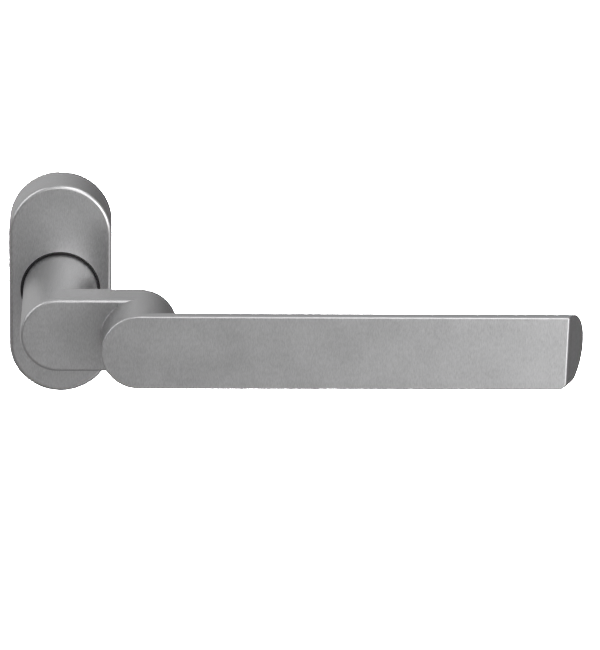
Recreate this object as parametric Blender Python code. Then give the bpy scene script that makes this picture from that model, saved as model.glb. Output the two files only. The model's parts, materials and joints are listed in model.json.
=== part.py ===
"""Projecting (cranked) window handle on an oval rose, with its spindle and detent.

Frame: the origin is on the spindle's axis at the face of the sash, +Y goes into
the sash, +X points towards the end of the grip and +Z is up. The lever is shown
turned level. All lengths are in metres.
"""

import math

import bmesh
import bpy
from mathutils import Matrix, Vector

# ---- driving dimensions -------------------------------------------------

# Rose: the oval cover that is seen, and the wall it is made with
ROSE_WIDTH = 0.0310
ROSE_HEIGHT = 0.0660
ROSE_DEPTH = 0.0140
COVER_WALL = 0.0015
COVER_EDGE_RADIUS = 0.0013
COVER_LIFT = 0.0002
PRY_NOTCH_WIDTH = 0.0018
PRY_NOTCH_DEPTH = 0.0010
PRY_NOTCH_OFFSET = 0.0005

# Lever: neck, crank arm and grip
NECK_DIAMETER = 0.0222
ARM_WIDTH = 0.0223
ARM_REACH = 0.02355
ARM_STAND_OFF = 0.04375
ARM_THICKNESS = 0.01025
ARM_EDGE_RADIUS = 0.0010
GRIP_HEIGHT = 0.0220
GRIP_DEPTH = 0.0111
GRIP_SIDE = 0.0015
GRIP_EDGE_RADIUS = 0.0005
GRIP_END = 0.1470
GRIP_END_ANGLE = math.radians(29.0)
PROJECTION = 0.06804

# Stem behind the neck, which turns in the base plate
STEM_DIAMETER = 0.0130
STEM_FLAT_WIDTH = 0.0114
GROOVE_DEPTH = 0.00075
GROOVE_WIDTH = 0.0015

# Base plate and its housing
PLATE_THICKNESS = 0.0045
HOUSING_END_WALL = 0.00135
HOUSING_WALL = 0.0010
HOUSING_CLEARANCE = 0.0005
SCREW_PITCH = 0.0430
LUG_DIAMETER = 0.0100
LUG_LENGTH = 0.0030
WEB_THICKNESS = 0.0015
CLIP_PEG_DIAMETER = 0.0018

# Bushes, washer, disc and ring inside the housing
RING_WALL = 0.00065
RING_RECESS = 0.0004
RING_FLOOR = 0.0008
WASHER_THICKNESS = 0.0005
DISC_RIM = 0.0021
DISC_THICKNESS = 0.0026
NOTCH_RADIUS = 0.00175
NOTCH_DEPTH = 0.0010
CIRCLIP_THICKNESS = 0.0010
CIRCLIP_WIDTH = 0.0021
CIRCLIP_OPENING = math.radians(28.0)
CIRCLIP_EAR_HOLE = 0.0012
REAR_BUSH_THICKNESS = 0.0012

# Detent plungers and their springs
PLUNGER_DIAMETER = 0.0026
PLUNGER_LENGTH = 0.0033
PLUNGER_LIFT = 0.00015
SPRING_LENGTH = 0.0025
SPRING_WIRE = 0.0004
SPRING_DIAMETER = 0.0026
SPRING_TURNS = 3.5

# Spindle and screws
SPINDLE_SIZE = 0.0070
SPINDLE_FREE_LENGTH = 0.0300
SPINDLE_SEAT = 0.0340
SPINDLE_EDGE = 0.0004
SPINDLE_CHAMFER = 0.0009
GRUB_DIAMETER = 0.0048
GRUB_KEY = 0.0025
GRUB_PLACE = 0.0240
SCREW_DIAMETER = 0.0048
SCREW_HEAD_DIAMETER = 0.0092
SCREW_LENGTH = 0.0300
SCREW_RECESS_WIDTH = 0.0046
SCREW_RECESS_SLOT = 0.0010
SCREW_RECESS_DEPTH = 0.0018
SCREW_CHAMFER = 0.0006

# Spring clips that hold the cover
CLIP_WIDTH = 0.0060
CLIP_THICKNESS = 0.0004
CLIP_HEIGHT = 0.0052
CLIP_FOOT = 0.0036
CLIP_BUMP = 0.0004
CLIP_CREST = 0.0036

# Clearances
GAP = 0.0003
RUNNING_GAP = 0.0001
OVERLAP = 0.0010

# Smoothness of round shapes
ARC_STEPS = 24
ROUND_STEPS = 64
SMALL_STEPS = 24
FILLET_STEPS = 4
DOME_STEPS = 4
WIRE_SIDES = 6
WIRE_STEPS = 14
WELD = 1e-7

# ---- places worked out from the dimensions ------------------------------

ROSE_RADIUS = ROSE_WIDTH / 2
ROSE_ARC = ROSE_HEIGHT / 2 - ROSE_RADIUS
COVER_FRONT = -ROSE_DEPTH
COVER_INSIDE = COVER_FRONT + COVER_WALL
INNER_RADIUS = ROSE_RADIUS - COVER_WALL
COVER_BACK = -COVER_LIFT

NECK_RADIUS = NECK_DIAMETER / 2
RING_INNER = NECK_RADIUS + 2 * RUNNING_GAP
RING_OUTER = RING_INNER + RING_WALL
MOUTH_RADIUS = RING_OUTER + 2 * RUNNING_GAP
STEM_RADIUS = STEM_DIAMETER / 2
BORE_RADIUS = STEM_RADIUS + RUNNING_GAP

HOUSING_FRONT = COVER_INSIDE + HOUSING_CLEARANCE
HOUSING_RADIUS = MOUTH_RADIUS + HOUSING_WALL
SCREW_Z = SCREW_PITCH / 2

REAR_BUSH_BACK = -GAP
REAR_BUSH_FRONT = REAR_BUSH_BACK - REAR_BUSH_THICKNESS
GROOVE_BACK = REAR_BUSH_FRONT - GAP
GROOVE_FRONT = GROOVE_BACK - GROOVE_WIDTH
CIRCLIP_MIDDLE = (GROOVE_BACK + GROOVE_FRONT) / 2
DISC_BACK = GROOVE_FRONT - GAP
DISC_FRONT = DISC_BACK - DISC_THICKNESS
DISC_MIDDLE = (DISC_BACK + DISC_FRONT) / 2
WASHER_BACK = DISC_FRONT - GAP / 2
WASHER_FRONT = WASHER_BACK - WASHER_THICKNESS
WEB_BACK = WASHER_FRONT - GAP / 2
WEB_FRONT = WEB_BACK - WEB_THICKNESS
RING_BACK = WEB_FRONT - GAP
RING_FLOOR_FRONT = RING_BACK - RING_FLOOR
NECK_BACK = RING_FLOOR_FRONT - GAP
RING_FRONT = COVER_FRONT + RING_RECESS

DISC_RADIUS = STEM_RADIUS + DISC_RIM
POCKET_RADIUS = DISC_RADIUS + 2 * GAP
WASHER_RADIUS = POCKET_RADIUS - GAP
PLUNGER_RADIUS = PLUNGER_DIAMETER / 2
PLUNGER_TIP = DISC_RADIUS + PLUNGER_LIFT
PLUNGER_END = PLUNGER_TIP + PLUNGER_LENGTH
SPRING_START = PLUNGER_END + GAP / 2
SPRING_END = SPRING_START + SPRING_LENGTH
POCKET_END = SPRING_END + GAP / 2
HOUSING_ARC = POCKET_END + HOUSING_END_WALL - HOUSING_RADIUS

ARM_RADIUS = ARM_WIDTH / 2
ARM_BACK = -ARM_STAND_OFF
ARM_FRONT = ARM_BACK - ARM_THICKNESS
ARM_MIDDLE = (ARM_BACK + ARM_FRONT) / 2
GRIP_RADIUS = GRIP_HEIGHT / 2
GRIP_FRONT = -PROJECTION

UPWARD = Vector((0.0, 0.0, 1.0))


# ---- materials ----------------------------------------------------------


def material(name, colour, roughness, metallic):
    """A Principled material of one colour."""
    made = bpy.data.materials.new(name)
    made.use_nodes = True
    shader = made.node_tree.nodes["Principled BSDF"]
    shader.inputs["Base Color"].default_value = (*colour, 1.0)
    shader.inputs["Roughness"].default_value = roughness
    shader.inputs["Metallic"].default_value = metallic
    made.diffuse_color = (*colour, 1.0)
    return made


def make_materials():
    """Each finish of the handle, by name."""
    return {
        "satin_metal": material("satin_metal", (0.46, 0.46, 0.47), 0.34, 1.0),
        "zinc_casting": material("zinc_casting", (0.38, 0.38, 0.39), 0.55, 1.0),
        "plated_steel": material("plated_steel", (0.60, 0.61, 0.62), 0.30, 1.0),
        "spring_steel": material("spring_steel", (0.30, 0.30, 0.32), 0.35, 1.0),
        "hard_steel": material("hard_steel", (0.22, 0.22, 0.23), 0.40, 1.0),
        "bronze": material("bronze", (0.58, 0.40, 0.20), 0.38, 1.0),
        "black_plastic": material("black_plastic", (0.02, 0.02, 0.02), 0.45, 0.0),
    }


# ---- helpers ------------------------------------------------------------


def clear_scene():
    for obj in list(bpy.data.objects):
        bpy.data.objects.remove(obj, do_unlink=True)


def put_in_scene(name, mesh):
    obj = bpy.data.objects.new(name, mesh)
    bpy.context.scene.collection.objects.link(obj)
    return obj


def finish_mesh(shape, name):
    """Turns a bmesh into an object, welded and with its faces pointing out."""
    bmesh.ops.remove_doubles(shape, verts=shape.verts, dist=WELD)
    bmesh.ops.dissolve_degenerate(shape, edges=shape.edges, dist=WELD)
    bmesh.ops.recalc_face_normals(shape, faces=shape.faces)
    mesh = bpy.data.meshes.new(name)
    shape.to_mesh(mesh)
    shape.free()
    return put_in_scene(name, mesh)


def combine(obj, tool, operation):
    """Joins tool to obj, or cuts it away, and removes the tool."""
    step = obj.modifiers.new(tool.name, "BOOLEAN")
    step.object = tool
    step.operation = operation
    step.solver = "EXACT"
    bpy.context.view_layer.update()
    graph = bpy.context.evaluated_depsgraph_get()
    mesh = bpy.data.meshes.new_from_object(obj.evaluated_get(graph))
    obj.modifiers.clear()
    obj.data = mesh
    bpy.data.objects.remove(tool, do_unlink=True)
    return obj


def join(obj, *tools):
    for tool in tools:
        combine(obj, tool, "UNION")
    return obj


def cut(obj, *tools):
    for tool in tools:
        combine(obj, tool, "DIFFERENCE")
    return obj


def arc(centre, radius, start, end, steps):
    """Points (x, z) on an arc, from the start angle to the end angle."""
    points = []
    for step in range(steps + 1):
        angle = start + (end - start) * step / steps
        points.append(
            (centre[0] + radius * math.cos(angle), centre[1] + radius * math.sin(angle))
        )
    return points


def oval(half_straight, radius, steps=ARC_STEPS):
    """An upright oval outline about the origin, in X and Z."""
    top = arc((0.0, half_straight), radius, 0.0, math.pi, steps)
    bottom = arc((0.0, -half_straight), radius, math.pi, 2 * math.pi, steps)
    return top + bottom


def lying_oval(reach, radius, steps=ARC_STEPS):
    """An oval outline from the origin to X = reach, in X and Z."""
    quarter = math.pi / 2
    left = arc((0.0, 0.0), radius, quarter, 3 * quarter, steps)
    right = arc((reach, 0.0), radius, -quarter, quarter, steps)
    return left + right


def circle(radius, steps=ROUND_STEPS, centre=(0.0, 0.0)):
    return arc(centre, radius, 0.0, 2 * math.pi, steps)[:-1]


def loft(levels, name):
    """A closed solid through outlines: levels holds (y, [(x, z), ...]) of equal length."""
    shape = bmesh.new()
    rings = []
    for y, outline in levels:
        rings.append([shape.verts.new((x, y, z)) for x, z in outline])
    count = len(rings[0])
    for near, far in zip(rings, rings[1:]):
        for i in range(count):
            j = (i + 1) % count
            shape.faces.new((near[i], near[j], far[j], far[i]))
    shape.faces.new(rings[0])
    shape.faces.new(rings[-1])
    return finish_mesh(shape, name)


def slab(outline, front, back, name):
    """An outline in X and Z, extruded along Y."""
    return loft([(front, outline), (back, outline)], name)


def rounded_levels(outline_of, front, back, front_radius, back_radius):
    """Levels of a slab with rounded edges. outline_of gives the outline at an inset."""
    levels = []
    for step in range(FILLET_STEPS + 1):
        angle = math.pi / 2 * step / FILLET_STEPS
        inset = front_radius * (1 - math.sin(angle))
        levels.append((front + front_radius * (1 - math.cos(angle)), outline_of(inset)))
    if not back_radius:
        return levels + [(back, outline_of(0.0))]
    for step in range(FILLET_STEPS + 1):
        angle = math.pi / 2 * step / FILLET_STEPS
        inset = back_radius * (1 - math.cos(angle))
        levels.append((back - back_radius * (1 - math.sin(angle)), outline_of(inset)))
    return levels


def turned(profile, name, steps=ROUND_STEPS, centre=(0.0, 0.0)):
    """A ring turned about the Y direction. The profile is a closed loop of (radius, y)."""
    shape = bmesh.new()
    rings = []
    for radius, y in profile:
        outline = circle(radius, steps, centre)
        rings.append([shape.verts.new((x, y, z)) for x, z in outline])
    for near, far in zip(rings, rings[1:] + rings[:1]):
        for i in range(steps):
            j = (i + 1) % steps
            shape.faces.new((near[i], near[j], far[j], far[i]))
    return finish_mesh(shape, name)


def rod(radius, front, back, name, steps=ROUND_STEPS, centre=(0.0, 0.0)):
    """A plain cylinder along Y."""
    return slab(circle(radius, steps, centre), front, back, name)


def cone(front_radius, back_radius, front, back, name, centre):
    """A cone along Y."""
    front_ring = circle(front_radius, SMALL_STEPS, centre)
    back_ring = circle(back_radius, SMALL_STEPS, centre)
    return loft([(front, front_ring), (back, back_ring)], name)


def block(low, high, name):
    """A box between two corners."""
    outline = [(low[0], low[2]), (high[0], low[2]), (high[0], high[2]), (low[0], high[2])]
    return slab(outline, low[1], high[1], name)


def turn_upright(obj, place):
    """Swings a solid made along Y so that its +Y end points along +Z, and moves it."""
    obj.data.transform(Matrix.Rotation(math.pi / 2, 4, "X"))
    obj.data.transform(Matrix.Translation(place))
    return obj


def flip_down(obj):
    """Turns a solid half round the Y axis, so that what pointed up points down."""
    obj.data.transform(Matrix.Rotation(math.pi, 4, "Y"))
    return obj


def place_origin(obj, point):
    """Moves the object's origin to a point and leaves its shape where it is."""
    obj.data.transform(Matrix.Translation(-Vector(point)))
    obj.location = point
    return obj


def dress(obj, finish, smooth_angle=math.radians(35.0)):
    """Gives the object its material and smooths its round faces."""
    obj.data.materials.clear()
    obj.data.materials.append(finish)
    obj.data.shade_smooth()
    obj.data.set_sharp_from_angle(angle=smooth_angle)
    return obj


# ---- lever --------------------------------------------------------------


def make_arm():
    """The crank arm: a lying oval slab with rounded edges."""

    def outline_at(inset):
        return lying_oval(ARM_REACH, ARM_RADIUS - inset)

    levels = rounded_levels(
        outline_at, ARM_FRONT, ARM_BACK, ARM_EDGE_RADIUS, ARM_EDGE_RADIUS
    )
    return loft(levels, "arm")


def grip_outline(depth, half_height, inset):
    """The grip and its boss, cut across at one depth behind the front face."""
    radius = GRIP_RADIUS - inset
    height = min(half_height - inset, radius)
    meet = math.asin(min(height / radius, 1.0))
    end = GRIP_END + depth * math.tan(GRIP_END_ANGLE) - inset
    corner = min(GRIP_EDGE_RADIUS, height)
    boss = arc((ARM_REACH, 0.0), radius, meet, 2 * math.pi - meet, 2 * ARC_STEPS)
    quarter = math.pi / 2
    low = arc((end - corner, corner - height), corner, -quarter, 0.0, 2)
    high = arc((end - corner, height - corner), corner, 0.0, quarter, 2)
    return boss + low + high


def grip_levels():
    """Depth, half height and inset of each cut, from the front face to the back ridge."""
    levels = []
    for step in range(FILLET_STEPS + 1):
        angle = math.pi / 2 * step / FILLET_STEPS
        depth = GRIP_EDGE_RADIUS * (1 - math.cos(angle))
        levels.append((depth, GRIP_RADIUS, GRIP_EDGE_RADIUS * (1 - math.sin(angle))))
    curve = ARC_STEPS // 2
    for step in range(curve + 1):
        angle = math.pi / 2 * step / curve
        depth = GRIP_SIDE + (GRIP_DEPTH - GRIP_SIDE) * math.sin(angle)
        levels.append((depth, GRIP_RADIUS * math.cos(angle), 0.0))
    return levels


def make_grip():
    """The grip: flat in front and rounded behind, with the round boss at its root."""
    shape = bmesh.new()
    rings = []
    for depth, half_height, inset in grip_levels():
        outline = grip_outline(depth, half_height, inset)
        y = GRIP_FRONT + depth
        rings.append([shape.verts.new((x, y, z)) for x, z in outline])
    count = len(rings[0])
    for near, far in zip(rings, rings[1:]):
        for i in range(count):
            j = (i + 1) % count
            shape.faces.new((near[i], near[j], far[j], far[i]))
    shape.faces.new(rings[0])
    boss_count = 2 * ARC_STEPS + 1
    boss = rings[-1][:boss_count]
    root = [shape.verts.new((v.co.x, ARM_MIDDLE, v.co.z)) for v in boss]
    for i in range(boss_count - 1):
        shape.faces.new((boss[i], boss[i + 1], root[i + 1], root[i]))
    shape.faces.new(root[:-1])
    return finish_mesh(shape, "grip")


def flatted_circle(radius, width):
    """A circle whose left and right sides are cut flat, width apart."""
    half = width / 2
    start = math.acos(half / radius)
    top = arc((0.0, 0.0), radius, start, math.pi - start, SMALL_STEPS)
    bottom = arc((0.0, 0.0), radius, math.pi + start, 2 * math.pi - start, SMALL_STEPS)
    return top + bottom


def make_stem():
    """The stem behind the neck: round in the web, flatted for the disc, with a groove."""
    stem = rod(STEM_RADIUS, NECK_BACK - OVERLAP, DISC_FRONT, "stem")
    flats = flatted_circle(STEM_RADIUS, STEM_FLAT_WIDTH)
    tail = slab(flats, DISC_FRONT - OVERLAP, -GAP, "tail")
    groove = turned(
        [
            (STEM_RADIUS - GROOVE_DEPTH, GROOVE_FRONT),
            (STEM_RADIUS + OVERLAP, GROOVE_FRONT),
            (STEM_RADIUS + OVERLAP, GROOVE_BACK),
            (STEM_RADIUS - GROOVE_DEPTH, GROOVE_BACK),
        ],
        "groove",
    )
    join(stem, tail)
    return cut(stem, groove)


def make_lever():
    """Neck, arm, grip and stem in one casting, bored for the spindle and grub screw."""
    lever = make_arm()
    lever.name = "lever"
    neck = rod(NECK_RADIUS, ARM_MIDDLE, NECK_BACK, "neck")
    join(lever, neck, make_grip(), make_stem())
    half = SPINDLE_SIZE / 2 + GAP / 2
    bore = block(
        (-half, -SPINDLE_SEAT - GAP, -half), (half, OVERLAP, half), "spindle_bore"
    )
    grub_bore = rod(GRUB_DIAMETER / 2 + GAP, 0.0, NECK_RADIUS, "grub_bore", SMALL_STEPS)
    turn_upright(grub_bore, (0.0, -GRUB_PLACE, 0.0))
    grub_bore.data.transform(Matrix.Translation((0.0, 0.0, -NECK_RADIUS - OVERLAP)))
    return cut(lever, bore, grub_bore)


def make_spindle():
    """The square bar that works the lock, chamfered at its free end."""
    half = SPINDLE_SIZE / 2

    def square(size):
        edge = SPINDLE_EDGE
        return [
            (-size, edge - size),
            (edge - size, -size),
            (size - edge, -size),
            (size, edge - size),
            (size, size - edge),
            (size - edge, size),
            (edge - size, size),
            (-size, size - edge),
        ]

    levels = [
        (-SPINDLE_SEAT, square(half)),
        (SPINDLE_FREE_LENGTH - SPINDLE_CHAMFER, square(half)),
        (SPINDLE_FREE_LENGTH, square(half - SPINDLE_CHAMFER)),
    ]
    return loft(levels, "spindle")


def hexagon(key):
    return circle(key / 2 / math.cos(math.pi / 6), 6)


def make_grub_screw():
    """The screw in the underside of the neck that holds the spindle."""
    length = NECK_RADIUS - SPINDLE_SIZE / 2 - 3 * GAP
    radius = GRUB_DIAMETER / 2
    chamfer = SCREW_CHAMFER
    levels = [
        (0.0, circle(radius - chamfer, SMALL_STEPS)),
        (chamfer, circle(radius, SMALL_STEPS)),
        (length - chamfer, circle(radius, SMALL_STEPS)),
        (length, circle(radius - chamfer, SMALL_STEPS)),
    ]
    screw = loft(levels, "grub_screw")
    cut(screw, slab(hexagon(GRUB_KEY), -OVERLAP, length / 2, "key"))
    bottom = -SPINDLE_SIZE / 2 - GAP - length
    return turn_upright(screw, (0.0, -GRUB_PLACE, bottom))


# ---- rose cover ---------------------------------------------------------


def make_cover():
    """The pressed oval cover: a shell open at the back, with a round mouth in front."""

    def outline_at(inset):
        return oval(ROSE_ARC, ROSE_RADIUS - inset)

    levels = rounded_levels(outline_at, COVER_FRONT, COVER_BACK, COVER_EDGE_RADIUS, 0.0)
    cover = loft(levels, "rose_cover")
    inside = slab(oval(ROSE_ARC, INNER_RADIUS), COVER_INSIDE, OVERLAP, "inside")
    mouth = rod(MOUTH_RADIUS, COVER_FRONT - OVERLAP, COVER_INSIDE + OVERLAP, "mouth")
    top = ROSE_HEIGHT / 2
    notch = block(
        (PRY_NOTCH_OFFSET - PRY_NOTCH_WIDTH / 2, -PRY_NOTCH_DEPTH, top - 2 * COVER_WALL),
        (PRY_NOTCH_OFFSET + PRY_NOTCH_WIDTH / 2, OVERLAP, top + OVERLAP),
        "pry_notch",
    )
    return cut(cover, inside, mouth, notch)


# ---- base plate and what is fixed to it ---------------------------------


def make_base_plate():
    """The die-cast base: an oval plate, a housing round the stem and two lugs."""
    plate_outline = oval(ROSE_ARC, INNER_RADIUS - GAP)
    plate = slab(plate_outline, -PLATE_THICKNESS, 0.0, "base_plate")
    housing_outline = oval(HOUSING_ARC, HOUSING_RADIUS)
    housing = slab(housing_outline, HOUSING_FRONT, -OVERLAP, "housing")
    join(plate, housing)
    for side in (1, -1):
        lug_centre = (0.0, side * SCREW_Z)
        lug = rod(LUG_DIAMETER / 2, -OVERLAP, LUG_LENGTH, "lug", SMALL_STEPS, lug_centre)
        peg_centre = (0.0, side * (clip_root() - CLIP_FOOT / 2))
        peg_front = -PLATE_THICKNESS - GAP - CLIP_THICKNESS - GAP
        peg_radius = CLIP_PEG_DIAMETER / 2
        peg = rod(peg_radius, peg_front, -OVERLAP, "peg", SMALL_STEPS, peg_centre)
        join(plate, lug, peg)
    mouth = rod(MOUTH_RADIUS, HOUSING_FRONT - OVERLAP, WEB_FRONT, "ring_seat")
    pocket = rod(POCKET_RADIUS, WEB_BACK, OVERLAP, "disc_pocket")
    bore = rod(BORE_RADIUS, WEB_FRONT - OVERLAP, WEB_BACK + OVERLAP, "bore")
    cut(plate, mouth, pocket, bore)
    for side in (1, -1):
        cut(plate, *screw_cutters(side), plunger_bore(side))
    return plate


def screw_cutters(side):
    """The countersunk hole for one fixing screw, and the driver's way in to its head."""
    centre = (0.0, side * SCREW_Z)
    hole_radius = SCREW_DIAMETER / 2 + GAP
    head_radius = SCREW_HEAD_DIAMETER / 2 + GAP
    front = -PLATE_THICKNESS
    slope = head_radius - hole_radius
    hole = rod(
        hole_radius, front - OVERLAP, LUG_LENGTH + OVERLAP, "hole", SMALL_STEPS, centre
    )
    sink = cone(
        head_radius + OVERLAP, hole_radius, front - OVERLAP, front + slope, "sink", centre
    )
    way_in = rod(
        head_radius, HOUSING_FRONT - OVERLAP, front, "way_in", SMALL_STEPS, centre
    )
    return hole, sink, way_in


def plunger_bore(side):
    """The blind bore for one plunger and its spring, open to the disc's pocket."""
    start = POCKET_RADIUS - OVERLAP
    length = POCKET_END - start
    bore = rod(PLUNGER_RADIUS + GAP, 0.0, length, "plunger_bore", SMALL_STEPS)
    turn_upright(bore, (0.0, DISC_MIDDLE, start))
    return bore if side > 0 else flip_down(bore)


def make_neck_ring():
    """The black bush that the neck glides in, seen as a thin ring in the mouth."""
    profile = [
        (BORE_RADIUS + 2 * RUNNING_GAP, RING_BACK),
        (RING_OUTER, RING_BACK),
        (RING_OUTER, RING_FRONT),
        (RING_INNER, RING_FRONT),
        (RING_INNER, RING_FLOOR_FRONT),
        (BORE_RADIUS + 2 * RUNNING_GAP, RING_FLOOR_FRONT),
    ]
    return turned(profile, "neck_ring")


def flat_ring(inner, outer, front, back, name):
    profile = [(inner, back), (outer, back), (outer, front), (inner, front)]
    return turned(profile, name)


def make_rear_bush():
    return flat_ring(
        BORE_RADIUS, WASHER_RADIUS, REAR_BUSH_FRONT, REAR_BUSH_BACK, "rear_bush"
    )


def make_thrust_washer():
    inner = BORE_RADIUS + RUNNING_GAP
    return flat_ring(inner, WASHER_RADIUS, WASHER_FRONT, WASHER_BACK, "thrust_washer")


def make_fixing_screw(name, side):
    """A countersunk screw with a cross recess, which passes through the lug."""
    centre = (0.0, side * SCREW_Z)
    radius = SCREW_DIAMETER / 2
    head = SCREW_HEAD_DIAMETER / 2
    front = -PLATE_THICKNESS
    tip = front + SCREW_LENGTH
    chamfer = SCREW_CHAMFER
    rim = GAP / 2
    levels = [
        (front, circle(head, SMALL_STEPS, centre)),
        (front + rim, circle(head, SMALL_STEPS, centre)),
        (front + rim + head - radius, circle(radius, SMALL_STEPS, centre)),
        (tip - chamfer, circle(radius, SMALL_STEPS, centre)),
        (tip, circle(radius - chamfer, SMALL_STEPS, centre)),
    ]
    screw = loft(levels, name)
    arm = SCREW_RECESS_WIDTH / 2
    slot = SCREW_RECESS_SLOT / 2
    deep = front + SCREW_RECESS_DEPTH
    z = centre[1]
    flat = block((-arm, front - OVERLAP, z - slot), (arm, deep, z + slot), "flat_slot")
    tall = block((-slot, front - OVERLAP, z - arm), (slot, deep, z + arm), "tall_slot")
    return cut(screw, flat, tall)


def clip_root():
    """The height at which a clip's upright leg stands on its foot."""
    wall = ROSE_ARC + math.sqrt(INNER_RADIUS**2 - (CLIP_WIDTH / 2) ** 2)
    return wall - GAP - CLIP_BUMP


def make_cover_clip(name, side):
    """A bent spring strip: a foot on the plate and a leg that grips inside the cover."""
    top = clip_root()
    t = CLIP_THICKNESS
    back = -PLATE_THICKNESS - GAP
    tip = back - CLIP_HEIGHT
    crest = back - CLIP_CREST
    outline = [
        (back, top - CLIP_FOOT),
        (back, top),
        (crest + 2 * CLIP_BUMP, top),
        (crest, top + CLIP_BUMP),
        (tip, top - CLIP_BUMP),
        (tip, top - CLIP_BUMP - t),
        (crest, top + CLIP_BUMP - t),
        (crest + 2 * CLIP_BUMP, top - t),
        (back - t, top - t),
        (back - t, top - CLIP_FOOT),
    ]
    shape = bmesh.new()
    ends = []
    for x in (-CLIP_WIDTH / 2, CLIP_WIDTH / 2):
        ends.append([shape.verts.new((x, y, z)) for y, z in outline])
    for i in range(len(outline)):
        j = (i + 1) % len(outline)
        shape.faces.new((ends[0][i], ends[0][j], ends[1][j], ends[1][i]))
    shape.faces.new(ends[0])
    shape.faces.new(ends[1])
    clip = finish_mesh(shape, name)
    peg_hole = rod(
        CLIP_PEG_DIAMETER / 2 + GAP,
        back - 2 * t,
        back + OVERLAP,
        "peg_hole",
        SMALL_STEPS,
        (0.0, top - CLIP_FOOT / 2),
    )
    cut(clip, peg_hole)
    return clip if side > 0 else flip_down(clip)


# ---- detent -------------------------------------------------------------


def make_detent_disc():
    """The disc that turns with the stem, with a notch each quarter turn."""
    disc = rod(DISC_RADIUS, DISC_FRONT, DISC_BACK, "detent_disc")
    outline = flatted_circle(STEM_RADIUS + RUNNING_GAP, STEM_FLAT_WIDTH + 2 * RUNNING_GAP)
    hole = slab(outline, DISC_FRONT - OVERLAP, DISC_BACK + OVERLAP, "disc_hole")
    cut(disc, hole)
    centre = DISC_RADIUS - NOTCH_DEPTH + NOTCH_RADIUS
    for quarter in range(4):
        angle = quarter * math.pi / 2
        notch = rod(
            NOTCH_RADIUS,
            DISC_FRONT - OVERLAP,
            DISC_BACK + OVERLAP,
            "notch",
            SMALL_STEPS,
            (centre * math.cos(angle), centre * math.sin(angle)),
        )
        cut(disc, notch)
    return disc


def make_retaining_ring():
    """The open ring in the stem's groove, with an ear at each end."""
    inner = STEM_RADIUS - GROOVE_DEPTH + GAP
    outer = inner + CIRCLIP_WIDTH
    down = -math.pi / 2
    start = down + CIRCLIP_OPENING / 2
    end = down + 2 * math.pi - CIRCLIP_OPENING / 2
    inside = arc((0.0, 0.0), inner, start, end, 2 * ARC_STEPS)
    outside = arc((0.0, 0.0), outer, end, start, 2 * ARC_STEPS)
    front = CIRCLIP_MIDDLE - CIRCLIP_THICKNESS / 2
    back = CIRCLIP_MIDDLE + CIRCLIP_THICKNESS / 2
    ring = slab(inside + outside, front, back, "retaining_ring")
    middle = (inner + outer) / 2
    ear = (CIRCLIP_OPENING + CIRCLIP_WIDTH / middle) / 2
    eye_radius = CIRCLIP_EAR_HOLE / 2
    for side in (1, -1):
        angle = down + side * ear
        eye = (middle * math.cos(angle), middle * math.sin(angle))
        cut(ring, rod(eye_radius, front - OVERLAP, back + OVERLAP, "eye", SMALL_STEPS, eye))
    return ring


def make_plunger(name, side):
    """A detent plunger with a domed tip, standing just clear of the disc."""
    levels = []
    for step in range(DOME_STEPS):
        angle = math.pi / 2 * (step + 0.5) / DOME_STEPS
        rise = PLUNGER_RADIUS * (1 - math.cos(angle))
        ring = circle(PLUNGER_RADIUS * math.sin(angle), SMALL_STEPS)
        levels.append((rise, ring))
    levels.append((PLUNGER_RADIUS, circle(PLUNGER_RADIUS, SMALL_STEPS)))
    levels.append((PLUNGER_LENGTH, circle(PLUNGER_RADIUS, SMALL_STEPS)))
    plunger = loft(levels, name)
    turn_upright(plunger, (0.0, DISC_MIDDLE, PLUNGER_TIP))
    if side < 0:
        flip_down(plunger)
    return place_origin(plunger, (0.0, DISC_MIDDLE, side * PLUNGER_TIP))


def make_spring(name, side):
    """A compression spring: round wire swept along a helix."""
    shape = bmesh.new()
    sides = WIRE_SIDES
    count = int(WIRE_STEPS * SPRING_TURNS)
    wire = SPRING_WIRE / 2
    radius = SPRING_DIAMETER / 2 - wire
    travel = SPRING_LENGTH - 2 * wire
    rings = []
    for step in range(count + 1):
        turn = 2 * math.pi * step / WIRE_STEPS
        outward = Vector((math.cos(turn), math.sin(turn), 0.0))
        along = Vector((-math.sin(turn), math.cos(turn), 0.0)) * radius
        along += UPWARD * travel / (2 * math.pi * SPRING_TURNS)
        normal = outward.cross(along).normalized()
        centre = outward * radius + UPWARD * (wire + travel * step / count)
        ring = []
        for k in range(sides):
            angle = 2 * math.pi * k / sides
            offset = outward * math.cos(angle) + normal * math.sin(angle)
            ring.append(shape.verts.new(centre + offset * wire))
        rings.append(ring)
    for near, far in zip(rings, rings[1:]):
        for i in range(sides):
            j = (i + 1) % sides
            shape.faces.new((near[i], near[j], far[j], far[i]))
    shape.faces.new(rings[0])
    shape.faces.new(rings[-1])
    spring = finish_mesh(shape, name)
    spring.data.transform(Matrix.Translation((0.0, DISC_MIDDLE, SPRING_START)))
    return spring if side > 0 else flip_down(spring)


# ---- the whole handle ---------------------------------------------------


def hang_on(pieces, empty_name, point):
    """Parents pieces to an empty at a point, so that they move together about it."""
    empty = put_in_scene(empty_name, None)
    empty.location = point
    for piece in pieces:
        piece.parent = empty
        piece.matrix_parent_inverse = Matrix.Translation(-Vector(point))
    return empty


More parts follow.
